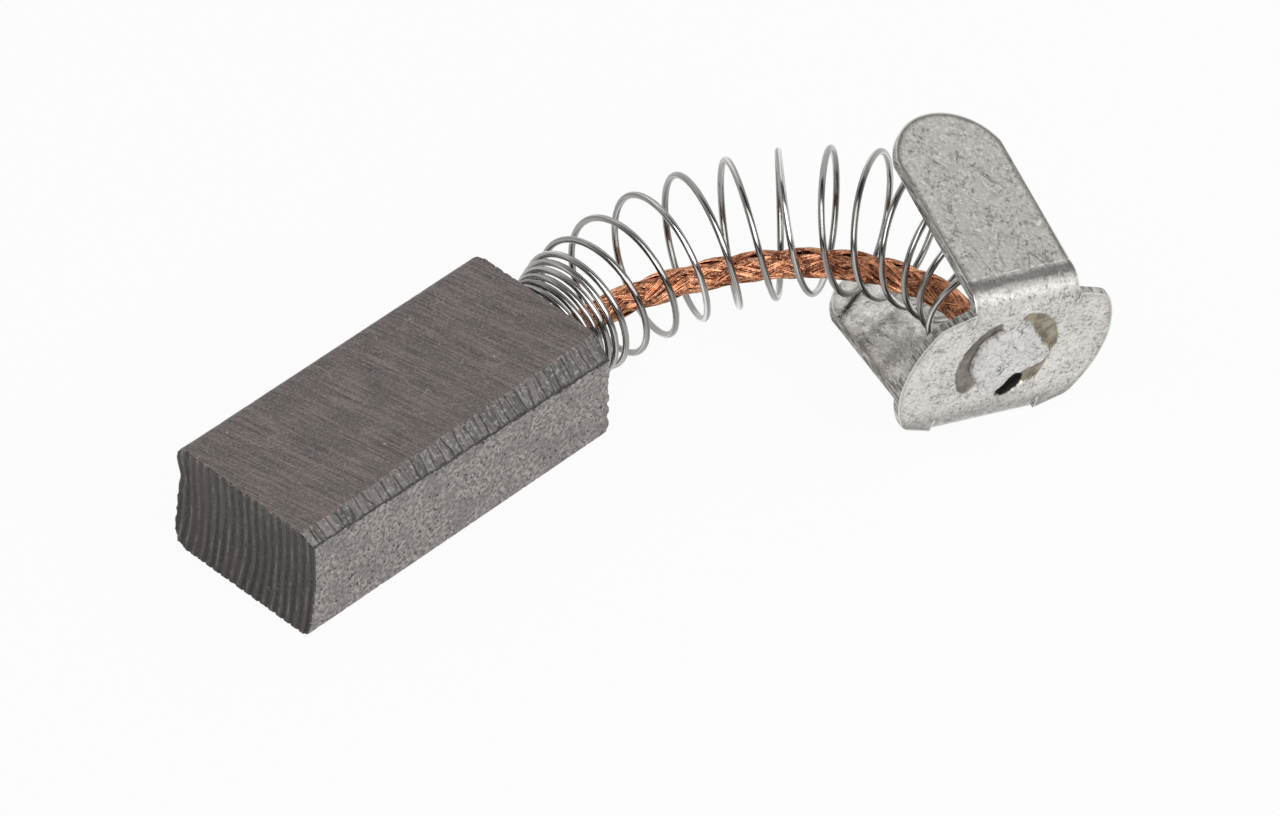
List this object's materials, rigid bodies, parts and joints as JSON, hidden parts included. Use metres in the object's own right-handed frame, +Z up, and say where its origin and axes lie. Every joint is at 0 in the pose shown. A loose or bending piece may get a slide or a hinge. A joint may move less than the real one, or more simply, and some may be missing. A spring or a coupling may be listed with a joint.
{
  "type": "carbon brush",
  "caption": "Carbon brush for a small motor: worn carbon block with a tamped copper lead, a compression spring round the lead and a folded clip terminal.",
  "frame": {"origin": "middle of the carbon block's lower face, on the surface that the brush lies on", "axes": "+X along the block from its rubbing face towards the spring, +Y towards the block's rounded side, +Z up"},
  "size_m": [0.0427, 0.0264, 0.0136],
  "materials": {
    "carbon": "pressed carbon, sawn and worn, dull brownish dark grey",
    "copper_powder": "dull pressed copper powder",
    "copper_braid": "bare copper wires, bright to tarnished",
    "spring_wire": "drawn wire, bright",
    "tinned_sheet": "tinned sheet, satin, mottled",
    "solder": "bright solder, crazed"
  },
  "bodies": {
    "root": {"carbon_block": "carbon", "tamping_powder": "copper_powder", "braided_lead": "copper_braid", "compression_spring": "spring_wire", "terminal_cap": "tinned_sheet", "solder_button": "solder"}
  },
  "joints": []
}
